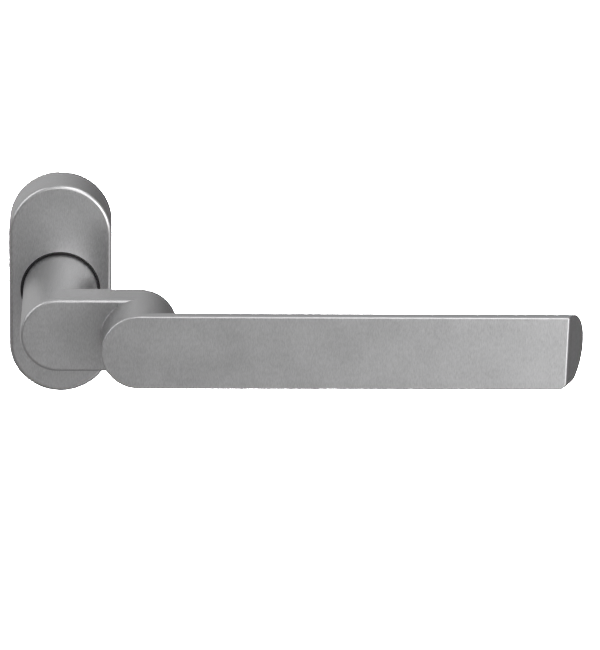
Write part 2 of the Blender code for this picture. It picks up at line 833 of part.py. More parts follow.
def build():
    clear_scene()
    finish = make_materials()
    lever = dress(make_lever(), finish["satin_metal"])
    spindle = dress(make_spindle(), finish["plated_steel"])
    grub_screw = dress(make_grub_screw(), finish["hard_steel"])
    disc = dress(make_detent_disc(), finish["hard_steel"])
    washer = dress(make_thrust_washer(), finish["bronze"])
    ring = dress(make_retaining_ring(), finish["spring_steel"])
    cover = dress(make_cover(), finish["satin_metal"])
    dress(make_base_plate(), finish["zinc_casting"])
    dress(make_neck_ring(), finish["black_plastic"])
    dress(make_rear_bush(), finish["black_plastic"])
    for word, side in (("upper", 1), ("lower", -1)):
        dress(make_fixing_screw(f"fixing_screw_{word}", side), finish["plated_steel"])
        dress(make_cover_clip(f"cover_clip_{word}", side), finish["spring_steel"])
        dress(make_plunger(f"detent_plunger_{word}", side), finish["hard_steel"])
        dress(make_spring(f"detent_spring_{word}", side), finish["spring_steel"])
    hang_on([lever, spindle, grub_screw, disc, washer, ring], "lever_axis", (0, 0, 0))
    hang_on([cover], "cover_axis", (0, COVER_FRONT, 0))


build()
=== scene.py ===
# %% [markdown]
# # A cranked window handle in satin metal
#
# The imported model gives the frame: which bodies there are, where every piece sits and how it
# moves. This lesson builds the surfaces that are seen: a lever cast in one piece, a pressed
# oval cover, the black glide ring between them, and the base, screws and spindle behind.
# Every length is in metres. X runs along the grip, Y goes into the sash and Z is up.

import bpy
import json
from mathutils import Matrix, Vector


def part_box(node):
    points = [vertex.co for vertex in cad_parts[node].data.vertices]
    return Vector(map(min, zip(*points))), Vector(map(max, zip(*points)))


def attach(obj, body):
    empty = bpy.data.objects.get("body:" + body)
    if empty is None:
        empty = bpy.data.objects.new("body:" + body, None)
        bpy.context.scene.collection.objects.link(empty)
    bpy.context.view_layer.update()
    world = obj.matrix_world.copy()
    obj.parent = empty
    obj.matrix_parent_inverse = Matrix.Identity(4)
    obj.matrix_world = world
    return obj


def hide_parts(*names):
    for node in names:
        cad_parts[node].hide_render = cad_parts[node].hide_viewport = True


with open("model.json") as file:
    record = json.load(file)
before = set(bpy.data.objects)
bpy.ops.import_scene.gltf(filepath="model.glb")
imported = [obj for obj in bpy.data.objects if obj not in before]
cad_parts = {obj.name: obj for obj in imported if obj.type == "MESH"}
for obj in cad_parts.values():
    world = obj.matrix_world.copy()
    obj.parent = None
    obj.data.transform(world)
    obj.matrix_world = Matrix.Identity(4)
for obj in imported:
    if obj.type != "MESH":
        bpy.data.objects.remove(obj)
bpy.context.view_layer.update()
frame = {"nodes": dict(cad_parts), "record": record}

# %% Modules and a few short words
import json
import math

import bmesh
import bpy
from mathutils import Quaternion, Vector

MM = 0.001
scene = bpy.context.scene

# %% [markdown]
# ## Selecting in code
#
# By hand, a maker clicks a face and then calls a tool. In a script the click is a test on the
# place or the normal of each face or edge. A tool acts on all that is selected, and the frame's
# own nodes are selected after loading, so each step starts by selecting one object alone.


# %% Select one object, and faces or edges of it
def alone(obj):
    """Selects this object and no other."""
    if bpy.context.mode != "OBJECT":
        bpy.ops.object.mode_set(mode="OBJECT")
    bpy.ops.object.select_all(action="DESELECT")
    obj.select_set(True)
    bpy.context.view_layer.objects.active = obj
    return obj


def pick(kind, test):
    """In edit mode, selects only the verts, edges or faces that pass the test."""
    bpy.ops.mesh.select_mode(type={"verts": "VERT", "edges": "EDGE", "faces": "FACE"}[kind])
    bpy.ops.mesh.select_all(action="DESELECT")
    mesh = bmesh.from_edit_mesh(bpy.context.object.data)
    found = [element for element in getattr(mesh, kind) if test(element)]
    for element in found:
        element.select_set(True)
    mesh.select_flush_mode()
    bmesh.update_edit_mesh(bpy.context.object.data)
    return len(found)


def middle(edge):
    return (edge.verts[0].co + edge.verts[1].co) / 2


def near(value, wanted, reach=0.01 * MM):
    return abs(value - wanted) < reach


def sharp(edge, angle=0.5):
    """True where an edge's two faces meet at more than this angle, in radians."""
    return edge.calc_face_angle(0.0) > angle


def from_axis(edge):
    """How far the middle of an edge lies from the spindle's axis."""
    return (middle(edge) * Vector((1.0, 0.0, 1.0))).length


def edit(obj):
    alone(obj)
    bpy.ops.object.mode_set(mode="EDIT")
    bpy.ops.mesh.select_all(action="SELECT")


def done():
    bpy.ops.object.mode_set(mode="OBJECT")


def bevel(width, steps=5):
    bpy.ops.mesh.bevel(offset=width, segments=steps, profile=0.5, affect="EDGES")


def settle(obj):
    """Puts the object's place into its mesh, so that the object itself sits at the origin."""
    alone(obj)
    bpy.ops.object.transform_apply(location=True, rotation=True, scale=True)
    return obj


print("selection helpers are ready")

# %% [markdown]
# ## Joining and cutting solids
#
# A hole is a second solid taken away with a Boolean. The exact solver keeps the surfaces clean,
# and the cutter is deleted once the modifier is applied, as it would be on a tidy bench.


# %% Boolean helper
def combine(obj, tool, operation):
    """Joins the tool to the object or cuts it away, then removes the tool."""
    alone(obj)
    step = obj.modifiers.new("combine", "BOOLEAN")
    step.operation = operation
    step.solver = "EXACT"
    step.object = tool
    bpy.ops.object.modifier_apply(modifier=step.name)
    bpy.data.objects.remove(tool, do_unlink=True)
    return obj


def cut(obj, *tools):
    for tool in tools:
        combine(obj, tool, "DIFFERENCE")
    return obj


def join(obj, *tools):
    for tool in tools:
        combine(obj, tool, "UNION")
    return obj


print("Boolean helpers are ready")

# %% [markdown]
# ## Round bars and ovals
#
# Nearly all of this handle is turned or milled from two forms: a round bar along Y, and an
# oval block. The oval starts as a bar too. It is cut in half, the flat face is pulled out to
# the middle, and a Mirror makes the other end, so both ends match exactly.

# %% A round bar along one axis
ROUND = 128
TURN = {"X": (0.0, math.pi / 2, 0.0), "Y": (math.pi / 2, 0.0, 0.0), "Z": (0.0, 0.0, 0.0)}


def bar(name, radius, start, end, axis="Y", centre=(0.0, 0.0), corners=ROUND):
    """A round bar from start to end along an axis. centre gives the other two coordinates."""
    place = list(centre)
    place.insert("XYZ".index(axis), (start + end) / 2)
    bpy.ops.mesh.primitive_cylinder_add(
        vertices=corners, radius=radius, depth=abs(end - start), location=place, rotation=TURN[axis]
    )
    made = bpy.context.object
    made.name = name
    return settle(made)


def block(name, low, high):
    """A square block between two corners, used as a cutter."""
    low, high = Vector(low), Vector(high)
    bpy.ops.mesh.primitive_cube_add(size=1.0, location=(low + high) / 2)
    made = bpy.context.object
    made.name = name
    made.scale = high - low
    return settle(made)


# %% An oval block, upright along Z
def oval_block(name, half_straight, radius, front, back):
    """An upright oval about the origin: half a bar, pulled to the middle and mirrored."""
    made = bar(name, radius, front, back, centre=(0.0, half_straight))
    edit(made)
    bpy.ops.mesh.bisect(
        plane_co=(0.0, 0.0, half_straight), plane_no=(0.0, 0.0, 1.0), clear_inner=True, use_fill=True
    )
    pick("faces", lambda face: face.normal.z < -0.9)
    bpy.ops.mesh.extrude_region_move(TRANSFORM_OT_translate={"value": (0.0, 0.0, -half_straight)})
    pick("faces", lambda face: face.normal.z < -0.9)
    bpy.ops.mesh.delete(type="FACE")
    done()
    mirror = made.modifiers.new("other half", "MIRROR")
    mirror.use_axis = (False, False, True)
    mirror.merge_threshold = 0.001 * MM
    bpy.ops.object.modifier_apply(modifier=mirror.name)
    return made


print("bars and ovals are ready")

# %% [markdown]
# ## Camera
#
# A long lens from well back, a little above and left of the handle, keeps the grip's edges
# nearly parallel. The roll is the small tilt of a camera held by hand.

# %% Camera
SIDE_ANGLE = math.radians(-3.464)
HEIGHT_ANGLE = math.radians(20.146)
ROLL = math.radians(1.372)
DISTANCE = 0.987
AIM = Vector((0.071654, -0.030, -0.005223))
LENS = 182.9


def add_camera():
    back = Vector(
        (
            math.sin(SIDE_ANGLE) * math.cos(HEIGHT_ANGLE),
            -math.cos(SIDE_ANGLE) * math.cos(HEIGHT_ANGLE),
            math.sin(HEIGHT_ANGLE),
        )
    )
    bpy.ops.object.camera_add(location=AIM + back * DISTANCE)
    camera = bpy.context.object
    camera.name = "camera"
    camera.rotation_mode = "QUATERNION"
    level = (-back).to_track_quat("-Z", "Y")
    camera.rotation_quaternion = level @ Quaternion((0.0, 0.0, 1.0), ROLL)
    camera.data.lens = LENS
    camera.data.sensor_width = 36.0
    camera.data.clip_start = 0.01
    return camera


scene.camera = add_camera()
print("camera stands", round(DISTANCE, 3), "m from the handle")

# %% [markdown]
# ## Shader groups
#
# Satin metal is not one grey. Its grain is a bundle of fine parallel scratches, and handling
# leaves faint cloudy patches where the gloss differs. Each effect is one node group with named
# inputs, used by several finishes with their own values. A group only puts out heights, masks
# and tints, and each material keeps its own Principled shader.


# %% Start a node group
def new_group(name, inputs, outputs):
    """An empty shader group with float inputs (name: value) and float outputs."""
    group = bpy.data.node_groups.new(name, "ShaderNodeTree")
    for label, value in inputs.items():
        socket = group.interface.new_socket(label, in_out="INPUT", socket_type="NodeSocketFloat")
        socket.default_value = value
    for label in outputs:
        group.interface.new_socket(label, in_out="OUTPUT", socket_type="NodeSocketFloat")
    return group, group.nodes.new("NodeGroupInput"), group.nodes.new("NodeGroupOutput")


def maths(tree, operation, first, second):
    """A Math node. Each argument is a number or another node's output."""
    node = tree.nodes.new("ShaderNodeMath")
    node.operation = operation
    for socket, value in zip(node.inputs, (first, second)):
        if isinstance(value, (int, float)):
            socket.default_value = value
        else:
            tree.links.new(value, socket)
    return node.outputs[0]


def spread(tree, value, low, high):
    """Maps a value from 0..1 to low..high."""
    node = tree.nodes.new("ShaderNodeMapRange")
    node.inputs["To Min"].default_value = low
    node.inputs["To Max"].default_value = high
    tree.links.new(value, node.inputs["Value"])
    return node.outputs["Result"]


# %% Brushed grain: fine scratches drawn out along Z
def make_grain():
    inputs = {"Across": 9000.0, "Along": 260.0, "Contrast": 1.0}
    group, given, put = new_group("brushed grain", inputs, ["Scratches"])
    coords = group.nodes.new("ShaderNodeTexCoord")
    stretch = group.nodes.new("ShaderNodeCombineXYZ")
    group.links.new(given.outputs["Across"], stretch.inputs["X"])
    group.links.new(given.outputs["Across"], stretch.inputs["Y"])
    group.links.new(given.outputs["Along"], stretch.inputs["Z"])
    scaled = group.nodes.new("ShaderNodeVectorMath")
    scaled.operation = "MULTIPLY"
    group.links.new(coords.outputs["Object"], scaled.inputs[0])
    group.links.new(stretch.outputs[0], scaled.inputs[1])
    noise = group.nodes.new("ShaderNodeTexNoise")
    noise.inputs["Scale"].default_value = 1.0
    noise.inputs["Detail"].default_value = 3.0
    noise.inputs["Roughness"].default_value = 0.6
    group.links.new(scaled.outputs[0], noise.inputs["Vector"])
    centred = maths(group, "SUBTRACT", noise.outputs["Fac"], 0.5)
    stronger = maths(group, "MULTIPLY", centred, given.outputs["Contrast"])
    group.links.new(maths(group, "ADD", stronger, 0.5), put.inputs["Scratches"])
    return group


def make_clouds():
    """Soft patches from handling and from the anodising bath."""
    inputs = {"Size": 90.0, "Low": 0.0, "High": 1.0}
    group, given, put = new_group("handling clouds", inputs, ["Patches"])
    coords = group.nodes.new("ShaderNodeTexCoord")
    noise = group.nodes.new("ShaderNodeTexNoise")
    noise.inputs["Detail"].default_value = 4.0
    noise.inputs["Roughness"].default_value = 0.55
    group.links.new(coords.outputs["Object"], noise.inputs["Vector"])
    group.links.new(given.outputs["Size"], noise.inputs["Scale"])
    ranged = group.nodes.new("ShaderNodeMapRange")
    group.links.new(noise.outputs["Fac"], ranged.inputs["Value"])
    group.links.new(given.outputs["Low"], ranged.inputs["To Min"])
    group.links.new(given.outputs["High"], ranged.inputs["To Max"])
    group.links.new(ranged.outputs["Result"], put.inputs["Patches"])
    return group


def make_pits():
    """The small bumps of a cast or plated skin."""
    group, given, put = new_group("cast skin", {"Size": 1500.0}, ["Bumps"])
    coords = group.nodes.new("ShaderNodeTexCoord")
    cells = group.nodes.new("ShaderNodeTexVoronoi")
    cells.feature = "SMOOTH_F1"
    group.links.new(coords.outputs["Object"], cells.inputs["Vector"])
    group.links.new(given.outputs["Size"], cells.inputs["Scale"])
    noise = group.nodes.new("ShaderNodeTexNoise")
    noise.inputs["Detail"].default_value = 5.0
    group.links.new(coords.outputs["Object"], noise.inputs["Vector"])
    group.links.new(given.outputs["Size"], noise.inputs["Scale"])
    mixed = maths(group, "MULTIPLY", cells.outputs["Distance"], noise.outputs["Fac"])
    group.links.new(mixed, put.inputs["Bumps"])
    return group


GRAIN, CLOUDS, PITS = make_grain(), make_clouds(), make_pits()
print("shader groups:", [group.name for group in (GRAIN, CLOUDS, PITS)])

# %% [markdown]
# ## Finishes
#
# Each finish is one Principled shader. Its numbers that are the same all over are set on the
# shader itself, and what changes over the surface comes from the groups: the grain or the cast
# skin tilts the normal and makes the colour a little lighter or darker, and both it and the
# clouds vary the gloss.


# %% One function for every metal and plastic of the handle
def finish(name, colour, roughness, metallic, texture, values, strength, depth, shade=0.06, blur=0.05):
    """A Principled material with a grain or a cast skin, and clouds in its gloss."""
    made = bpy.data.materials.new(name)
    made.use_nodes = True
    tree = made.node_tree
    shader = tree.nodes["Principled BSDF"]
    shader.inputs["Metallic"].default_value = metallic
    surface = tree.nodes.new("ShaderNodeGroup")
    surface.node_tree = texture
    for label, value in values.items():
        surface.inputs[label].default_value = value
    clouds = tree.nodes.new("ShaderNodeGroup")
    clouds.node_tree = CLOUDS
    rough_base = maths(tree, "ADD", spread(tree, clouds.outputs[0], -blur, blur), roughness)
    rough_grain = spread(tree, surface.outputs[0], -blur / 2, blur / 2)
    tree.links.new(maths(tree, "ADD", rough_base, rough_grain), shader.inputs["Roughness"])
    tint = tree.nodes.new("ShaderNodeMix")
    tint.data_type = "RGBA"
    tint.inputs["A"].default_value = (*[c * (1 - shade) for c in colour], 1.0)
    tint.inputs["B"].default_value = (*[c * (1 + shade) for c in colour], 1.0)
    tree.links.new(surface.outputs[0], tint.inputs["Factor"])
    tree.links.new(tint.outputs["Result"], shader.inputs["Base Color"])
    bump = tree.nodes.new("ShaderNodeBump")
    bump.inputs["Strength"].default_value = strength
    bump.inputs["Distance"].default_value = depth
    tree.links.new(surface.outputs[0], bump.inputs["Height"])
    tree.links.new(bump.outputs["Normal"], shader.inputs["Normal"])
    return made


GRAIN_FINE = {"Across": 4200.0, "Along": 900.0, "Contrast": 2.4}
GRAIN_DRAWN = {"Across": 4000.0, "Along": 900.0}
GRAIN_TURNED = {"Across": 3500.0, "Along": 700.0}
SATIN = finish(
    "satin metal", (0.50, 0.50, 0.505), 0.38, 1.0, GRAIN, GRAIN_FINE, 0.3, 0.012 * MM, 0.11, 0.07
)
ZINC = finish("zinc casting", (0.36, 0.36, 0.37), 0.52, 1.0, PITS, {"Size": 1600.0}, 0.5, 0.05 * MM)
PLATED = finish(
    "plated steel", (0.56, 0.57, 0.58), 0.30, 1.0, PITS, {"Size": 2600.0}, 0.2, 0.02 * MM, 0.1
)
SPRING = finish(
    "spring steel", (0.28, 0.28, 0.30), 0.34, 1.0, GRAIN, GRAIN_DRAWN, 0.2, 0.01 * MM
)
BLACKENED = finish(
    "blackened steel", (0.10, 0.10, 0.105), 0.42, 1.0, PITS, {"Size": 3000.0}, 0.3, 0.02 * MM
)
BRONZE = finish("bronze", (0.52, 0.33, 0.15), 0.36, 1.0, GRAIN, GRAIN_TURNED, 0.3, 0.01 * MM)
GLIDE = finish(
    "black plastic", (0.012, 0.012, 0.012), 0.48, 0.0, PITS, {"Size": 2400.0}, 0.3, 0.02 * MM, 0.2
)
FINISH_OF_SLOT = {
    "satin_metal": SATIN,
    "zinc_casting": ZINC,
    "plated_steel": PLATED,
    "spring_steel": SPRING,
    "hard_steel": BLACKENED,
    "bronze": BRONZE,
    "black_plastic": GLIDE,
}
SLOT_OF_NODE = {part["node"]: part["material_slot"] for part in frame["record"]["subparts"]}
print("finishes:", len(FINISH_OF_SLOT), "for", len(SLOT_OF_NODE), "nodes")

# %% [markdown]
# ## Handing a piece over
#
# A finished piece stands for its node in the frame, moves with the node's body and takes the
# node's finish. Its round faces are shaded smooth. Weighted normals then let the large faces
# set the shading, so that a flat face beside a fillet stays flat and only the fillet turns.

# %% Stand for a node
BODY_OF_NODE = {
    node: body for body, nodes in frame["record"]["behaviour"]["bodies"].items() for node in nodes
}


def hand_over(piece, node, smooth_angle=math.radians(28.0)):
    edit(piece)
    bpy.ops.mesh.remove_doubles(threshold=0.0001 * MM)
    bpy.ops.mesh.normals_make_consistent(inside=False)
    done()
    bpy.ops.object.shade_smooth_by_angle(angle=smooth_angle)
    level = piece.modifiers.new("level faces", "WEIGHTED_NORMAL")
    level.keep_sharp = True
    bpy.ops.object.modifier_apply(modifier=level.name)
    piece.data.materials.clear()
    piece.data.materials.append(FINISH_OF_SLOT[SLOT_OF_NODE[node]])
    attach(piece, BODY_OF_NODE[node])
    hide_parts(node)
    print(piece.name, "has", len(piece.data.polygons), "faces")
    return piece


# %% [markdown]
# ## The lever: boss and grip
#
# The lever is one casting. Its grip is flat in front and half an ellipse behind, and starts at
# a round boss. A bar is laid along X, flattened to an ellipse and cut in half, and the flat side
# is pulled forward to make the grip's narrow sides. The boss is a plain bar whose front is level
# with the grip's, so once they are joined the front is one face with one outline to round.

# %% Sizes of the lever
lever_low, lever_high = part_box("lever")
ARM_RADIUS = lever_high.z
REACH = 23.55 * MM
ARM_BACK = -43.75 * MM
ARM_FRONT = -54.0 * MM
ARM_MIDDLE = (ARM_BACK + ARM_FRONT) / 2
GRIP_FRONT = lever_low.y
GRIP_SIDE = 1.5 * MM
GRIP_DEPTH = 11.1 * MM
GRIP_END_ANGLE = math.radians(29.0)
GRIP_END = lever_high.x - GRIP_DEPTH * math.tan(GRIP_END_ANGLE)
GRIP_EDGE = 0.45 * MM
NECK_BACK = -10.25 * MM
STEM_BACK = lever_high.y
HAIR = 0.004 * MM
print("the lever is", round(2 * ARM_RADIUS / MM, 2), "mm wide and reaches", REACH / MM, "mm")


# %% A half ellipse with flat sides
def is_level(edge, y):
    return all(near(vert.co.y, y) for vert in edge.verts)


def level_front(obj):
    """Puts every vert of the front at exactly one depth, so that fronts join without slivers."""
    for vert in obj.data.vertices:
        if near(vert.co.y, GRIP_FRONT):
            vert.co.y = GRIP_FRONT
    return obj


def grip_bar():
    half = ARM_RADIUS - HAIR
    made = bar("grip", half, REACH, lever_high.x + 2 * MM, axis="X")
    edit(made)
    bpy.ops.transform.resize(value=(1.0, (GRIP_DEPTH - GRIP_SIDE) / half, 1.0))
    bpy.ops.mesh.bisect(
        plane_co=(0.0, 0.0, 0.0), plane_no=(0.0, 1.0, 0.0), clear_inner=True, use_fill=True
    )
    pick("faces", lambda face: face.normal.y < -0.99 and near(face.calc_center_median().y, 0.0))
    bpy.ops.mesh.extrude_region_move(TRANSFORM_OT_translate={"value": (0.0, -GRIP_SIDE, 0.0)})
    bpy.ops.mesh.select_all(action="SELECT")
    bpy.ops.mesh.remove_doubles(threshold=0.0005 * MM)
    bpy.ops.transform.translate(value=(0.0, GRIP_FRONT + GRIP_SIDE, 0.0))
    done()
    return level_front(made)


# %% Join the boss and trim the end on the slant
end_normal = Vector((math.cos(GRIP_END_ANGLE), -math.sin(GRIP_END_ANGLE), 0.0))
end_corner = Vector((GRIP_END, GRIP_FRONT, 0.0))
boss = level_front(bar("boss", ARM_RADIUS, GRIP_FRONT, ARM_MIDDLE, centre=(REACH, 0.0)))
join(boss, grip_bar())
edit(boss)
bpy.ops.mesh.bisect(plane_co=end_corner, plane_no=end_normal, clear_outer=True, use_fill=True)
print("the end leans", round(math.degrees(GRIP_END_ANGLE)), "degrees")

# %% Round the lower corner of the end with planes laid round a circle
CORNER_ROUND = 2.0 * MM
DOWN = Vector((0.0, 0.0, -1.0))
circle_centre = end_corner + DOWN * (ARM_RADIUS - HAIR) - (DOWN + end_normal) * CORNER_ROUND
for degrees in (18.0, 36.0, 54.0, 72.0):
    turn = math.radians(degrees)
    outward = DOWN * math.cos(turn) + end_normal * math.sin(turn)
    touch = circle_centre + outward * CORNER_ROUND
    bpy.ops.mesh.select_all(action="SELECT")
    bpy.ops.mesh.bisect(plane_co=touch, plane_no=outward, clear_outer=True, use_fill=True)
print("the lower corner is rounded to", CORNER_ROUND / MM, "mm")


# %% Make the front one face
def is_front(face):
    return face.normal.y < -0.999 and near(face.calc_center_median().y, GRIP_FRONT)


pieces = pick("faces", is_front)
if pieces > 1:
    bpy.ops.mesh.dissolve_faces()
print("the front came in", pieces, "pieces and is now one face")


# %% Round the front outline and the end
def on_grip_edge(edge):
    if not sharp(edge, math.radians(10.0)):
        return False
    on_end = all(abs((vert.co - end_corner).dot(end_normal)) < HAIR for vert in edge.verts)
    return is_level(edge, GRIP_FRONT) or on_end


trimmed = pick("edges", on_grip_edge)
bevel(GRIP_EDGE, 4)
done()
print("rounded", trimmed, "edges of the grip")

# %% [markdown]
# ## The lever: crank arm and neck
#
# The arm is an oval block lying on its side, with both outlines rounded. The neck and the boss
# stand on it as bars of the arm's own width. A bar one hair wider than the arm hides the
# rounding on its own side, so that neck and arm run into each other without a groove, as one
# casting does.

# %% Lay the oval arm on its side and round it
ARM_ROUND = 1.0 * MM
lever = oval_block("lever_casting", REACH / 2, ARM_RADIUS - HAIR, ARM_FRONT, ARM_BACK)
lever.rotation_euler = (0.0, math.pi / 2, 0.0)
lever.location = (REACH / 2, 0.0, 0.0)
settle(lever)
edit(lever)


def on_outline(edge):
    return sharp(edge) and (is_level(edge, ARM_FRONT) or is_level(edge, ARM_BACK))


rounded = pick("edges", on_outline)
bevel(ARM_ROUND)
done()
print("rounded", rounded, "edges of the arm")

# %% [markdown]
# ## Filled inner corners
#
# Where a bar stands on the arm, the mould leaves a small hollow fillet. It runs out at the top
# and bottom, where bar and arm are level. A foot with a hollow edge is made a little flatter
# than round, so it is widest at the side and sinks into the bar before it reaches the top.

# %% A foot with a hollow edge
FOOT_ROUND = 0.4 * MM
FOOT_HEIGHT = 11.09 * MM
HOLLOW_WIDTH = FOOT_ROUND * 0.98
HOLLOW_PROFILE = 0.086
FOOT_ROOT = 2 * MM


def foot(x, plane, outward):
    """A foot on a plane of the arm. outward is +1 for the neck and -1 for the boss."""
    top = plane + outward * FOOT_ROUND
    deep = plane - outward * FOOT_ROOT
    made = bar("foot", ARM_RADIUS + FOOT_ROUND, *sorted((deep, top)), centre=(x, 0.0))
    edit(made)
    pick("edges", lambda edge: is_level(edge, top))
    bpy.ops.mesh.bevel(offset=HOLLOW_WIDTH, segments=6, profile=HOLLOW_PROFILE, affect="EDGES")
    bpy.ops.mesh.select_all(action="SELECT")
    bpy.ops.transform.resize(
        value=(1.0, 1.0, FOOT_HEIGHT / (ARM_RADIUS + FOOT_ROUND)), center_override=(x, plane, 0.0)
    )
    bpy.ops.mesh.bisect(
        plane_co=(x, 0.0, 0.0), plane_no=(-outward, 0.0, 0.0), clear_outer=True, use_fill=True
    )
    done()
    return made


neck = bar("neck", ARM_RADIUS, ARM_MIDDLE, NECK_BACK)
join(lever, neck, boss, foot(0.0, ARM_BACK, 1), foot(REACH, ARM_FRONT, -1))
print("the lever is joined:", len(lever.data.polygons), "faces")

# %% [markdown]
# ## The stem
#
# Behind the cover the neck steps down to a stem that turns in the base. It carries two flats
# for the detent disc, a groove for the retaining ring and the square bore for the spindle. The
# step is an inset and an extrusion of the neck's end. The rest is cut, as it is on a lathe and
# a mill.

# %% Step down from the neck to the stem
NECK_RIM = 0.3 * MM
STEM_RADIUS = 6.5 * MM
STEM_FLAT = 5.7 * MM
DISC_FRONT = -6.2 * MM
GROOVE = (-3.3 * MM, -1.8 * MM)
GROOVE_FLOOR = 5.75 * MM

edit(lever)
pick("faces", lambda face: len(face.verts) == ROUND and near(face.calc_center_median().y, NECK_BACK))
bpy.ops.mesh.inset(thickness=ARM_RADIUS - STEM_RADIUS)
bpy.ops.mesh.extrude_region_move(TRANSFORM_OT_translate={"value": (0.0, STEM_BACK - NECK_BACK, 0.0)})


def on_neck_rim(edge):
    outside = from_axis(edge) > ARM_RADIUS - NECK_RIM
    return (is_level(edge, NECK_BACK) and outside) or is_level(edge, STEM_BACK)


pick("edges", on_neck_rim)
bevel(NECK_RIM, 3)
done()
print("the stem is", 2 * STEM_RADIUS / MM, "mm across")


# %% Cut the flats, the groove, the bore and the grub screw's hole
def groove_ring():
    front, back = GROOVE
    ring = bar("groove", STEM_RADIUS + 1 * MM, front, back)
    return cut(ring, bar("core", GROOVE_FLOOR, front - 1 * MM, back + 1 * MM))


BORE = 3.65 * MM
BORE_FRONT = -34.3 * MM
GRUB_PLACE = -24.0 * MM
GRUB_HOLE = 2.55 * MM
GRUB_HOLE_RIM = 0.2 * MM
GRUB_HOLE_LOW = -12.5 * MM
PAST_STEM = 10 * MM
BEHIND = 1 * MM
cut(
    lever,
    block("flat", (STEM_FLAT, DISC_FRONT, -PAST_STEM), (2 * PAST_STEM, BEHIND, PAST_STEM)),
    block("flat", (-2 * PAST_STEM, DISC_FRONT, -PAST_STEM), (-STEM_FLAT, BEHIND, PAST_STEM)),
    groove_ring(),
    block("bore", (-BORE, BORE_FRONT, -BORE), (BORE, BEHIND, BORE)),
    bar("grub_hole", GRUB_HOLE, GRUB_HOLE_LOW, 0.0, "Z", centre=(0.0, GRUB_PLACE), corners=48),
)
print("the bore is", 2 * BORE / MM, "mm square")


# %% Break the rim of the grub screw's hole
def on_hole_rim(edge):
    around = Vector((middle(edge).x, middle(edge).y - GRUB_PLACE)).length
    outside = middle(edge).z < -9 * MM
    return outside and near(around, GRUB_HOLE, 0.05 * MM) and sharp(edge, 0.6)


edit(lever)
rim = pick("edges", on_hole_rim)
bevel(GRUB_HOLE_RIM, 2)
done()
print("the hole's rim has", rim, "edges")

# %% Hand the lever over
hand_over(lever, "lever")

# %% [markdown]
# ## The rose cover
#
# The cover is pressed from sheet: an oval cup with a soft front edge and a round mouth for the
# neck. Its wall is made by cutting a smaller oval out of a larger one. A small half-round nick
# at the top of its back edge takes the screwdriver that lifts it off.

# %% Sizes of the cover
cover_low, cover_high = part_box("rose_cover")
ROSE_RADIUS = cover_high.x
ROSE_STRAIGHT = cover_high.z - ROSE_RADIUS
COVER_FRONT = cover_low.y
COVER_BACK = cover_high.y
COVER_WALL = 1.5 * MM
COVER_EDGE = 1.3 * MM
MOUTH_RADIUS = 12.0 * MM
print("cover:", round(2 * ROSE_RADIUS / MM, 1), "by", round(2 * cover_high.z / MM, 1), "mm")

# %% Press the cup
cover = oval_block("oval_rose_cover", ROSE_STRAIGHT, ROSE_RADIUS, COVER_FRONT, COVER_BACK)
edit(cover)
pick("edges", lambda edge: is_level(edge, COVER_FRONT) and sharp(edge))
bevel(COVER_EDGE, 8)
done()
cut(
    cover,
    oval_block("hollow", ROSE_STRAIGHT, ROSE_RADIUS - COVER_WALL, COVER_FRONT + COVER_WALL, BEHIND),
    bar("mouth", MOUTH_RADIUS, COVER_FRONT - 1 * MM, 0.0),
)
print("the cup's wall is", COVER_WALL / MM, "mm")

# %% Break the mouth's rim and the back edge, and cut the nick
COVER_BREAK = 0.06 * MM
NICK_RADIUS = 0.9 * MM
NICK_X = 0.5 * MM
NICK_LOW = 30.5 * MM
NICK_HIGH = 34.0 * MM


def on_cover_rim(edge):
    at_mouth = is_level(edge, COVER_FRONT) and near(from_axis(edge), MOUTH_RADIUS, 0.05 * MM)
    return at_mouth or (is_level(edge, COVER_BACK) and sharp(edge))


edit(cover)
pick("edges", on_cover_rim)
bevel(COVER_BREAK, 2)
done()
nick_place = (NICK_X, COVER_BACK)
cut(cover, bar("nick", NICK_RADIUS, NICK_LOW, NICK_HIGH, "Z", centre=nick_place, corners=48))
hand_over(cover, "rose_cover")

# %% [markdown]
# ## The black glide ring
#
# A thin plastic bush lines the mouth and carries the neck, so that metal never rubs on metal.
# Only its rim shows, as a black line. It is a bar with a wide bore for the neck and a narrow
# one for the stem, and its rim is broken so that it catches a little light.

# %% Turn the ring
ring_low, ring_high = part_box("neck_ring")
RING_INNER = 11.3 * MM
RING_STEP = -9.6 * MM
RING_STEM_BORE = 6.8 * MM
RING_BREAK = 0.12 * MM
glide = bar("glide_ring", ring_high.x, ring_low.y, ring_high.y)
cut(
    glide,
    bar("neck_bore", RING_INNER, ring_low.y - 1 * MM, RING_STEP),
    bar("stem_bore", RING_STEM_BORE, -12 * MM, 0.0),
)
edit(glide)
pick("edges", lambda edge: is_level(edge, ring_low.y) and sharp(edge))
bevel(RING_BREAK, 2)
done()
hand_over(glide, "neck_ring")

# %% [markdown]
# ## The base
#
# The base is a zinc die casting that stays on the sash: an oval plate, a housing for the detent
# and two lugs that sit in drilled holes and take the side load off the screws. Castings have
# rounded outer edges and the round marks of the pins that push them out of the die.

# %% Cast the plate, housing, lugs and pegs
plate_low, plate_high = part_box("base_plate")
PLATE_FRONT = -4.5 * MM
HOUSING_FRONT = plate_low.y
SEAT_RADIUS = 12.15 * MM
HOUSING_RADIUS = SEAT_RADIUS + 1.0 * MM
HOUSING_STRAIGHT = 3.05 * MM
SCREW_Z = 21.5 * MM
LUG_RADIUS = 5.0 * MM
PEG_RADIUS = 0.9 * MM
PEG_FRONT = -5.5 * MM
PEG_Z = 28.675 * MM
CAST_ROUND = 0.3 * MM
INSIDE_PLATE = -1 * MM

